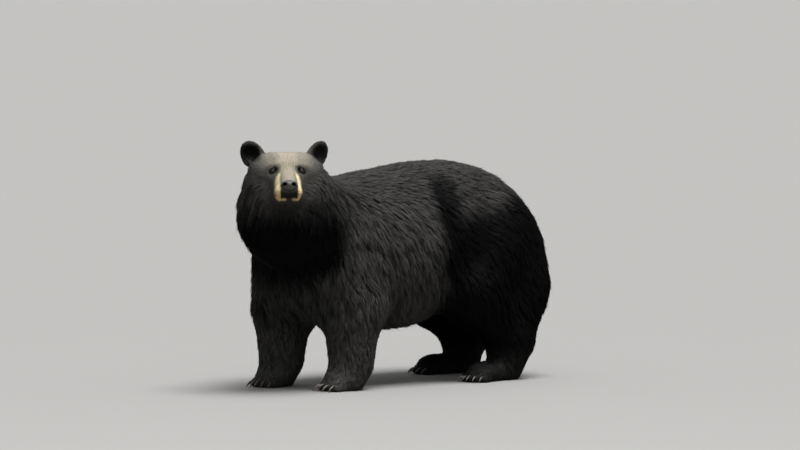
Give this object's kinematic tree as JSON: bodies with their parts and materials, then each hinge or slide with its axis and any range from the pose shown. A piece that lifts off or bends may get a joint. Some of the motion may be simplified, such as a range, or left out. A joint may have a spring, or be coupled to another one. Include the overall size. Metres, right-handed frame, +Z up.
{
  "type": "black bear",
  "caption": "Life-size standing black bear in a heavy autumn coat, head raised and turned to its left, for natural history displays and scenes.",
  "frame": {"origin": "on the floor, under the middle of the model's bounding box", "axes": "the bear faces -Y, its left side is +X, and +Z is up"},
  "size_m": [0.6622, 1.5254, 0.9504],
  "materials": {
    "coat": "dense black fur with a soft grey sheen",
    "nose_leather": "fine-grained, slightly moist",
    "eye": "wet dark brown",
    "claw": "dark horn"
  },
  "bodies": {
    "root": {"neck": "coat", "chest": "coat", "belly": "coat", "rump": "coat", "tail": "coat", "head": "coat", "nose": "nose_leather", "lower_jaw": "coat", "left_ear": "coat", "left_eye": "eye", "right_ear": "coat", "right_eye": "eye", "left_upper_arm": "coat", "left_forearm": "coat", "left_forepaw": "coat", "left_forepaw_claw_1": "claw", "left_forepaw_claw_2": "claw", "left_forepaw_claw_3": "claw", "left_forepaw_claw_4": "claw", "left_forepaw_claw_5": "claw", "right_upper_arm": "coat", "right_forearm": "coat", "right_forepaw": "coat", "right_forepaw_claw_1": "claw", "right_forepaw_claw_2": "claw", "right_forepaw_claw_3": "claw", "right_forepaw_claw_4": "claw", "right_forepaw_claw_5": "claw", "left_thigh": "coat", "left_shank": "coat", "left_hindpaw": "coat", "left_hindpaw_claw_1": "claw", "left_hindpaw_claw_2": "claw", "left_hindpaw_claw_3": "claw", "left_hindpaw_claw_4": "claw", "left_hindpaw_claw_5": "claw", "right_thigh": "coat", "right_shank": "coat", "right_hindpaw": "coat", "right_hindpaw_claw_1": "claw", "right_hindpaw_claw_2": "claw", "right_hindpaw_claw_3": "claw", "right_hindpaw_claw_4": "claw", "right_hindpaw_claw_5": "claw"}
  },
  "joints": []
}
